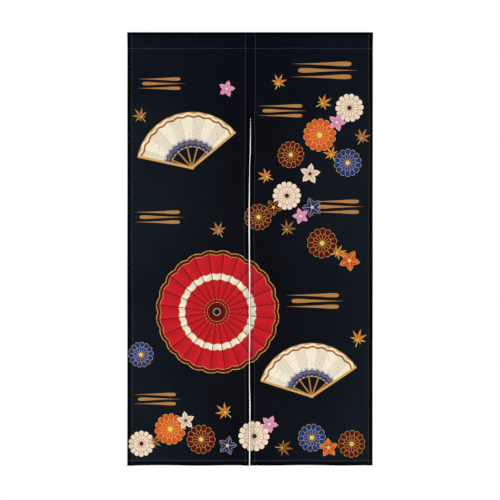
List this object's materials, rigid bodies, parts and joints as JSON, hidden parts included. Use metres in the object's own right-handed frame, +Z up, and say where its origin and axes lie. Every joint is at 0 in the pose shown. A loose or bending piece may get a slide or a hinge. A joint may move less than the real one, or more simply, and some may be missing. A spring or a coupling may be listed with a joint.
{
  "type": "noren curtain",
  "caption": "Split cloth door curtain that hangs from a rod pocket along its top, seamed above the slit, hemmed on every edge, with a dyed print of an umbrella, fans, mist and flowers.",
  "frame": {"origin": "crest of the rod pocket, at the middle of the curtain's width and in the plane of the rod", "axes": "+Z up along the drop, +X to the right as seen from the printed face, +Y away from the viewer, so that the printed face looks along -Y"},
  "size_m": [0.85, 0.0163, 1.5],
  "materials": {
    "printed_cloth": "plain-woven polyester, near-black blue ground with a dyed print in red, bronze, ivory, indigo and maroon, matte with a faint sheen",
    "sewing_thread": "spun polyester sewing thread, charcoal"
  },
  "bodies": {
    "root": {"left_panel": "printed_cloth", "left_pocket": "printed_cloth", "right_panel": "printed_cloth", "right_pocket": "printed_cloth"}
  },
  "joints": []
}
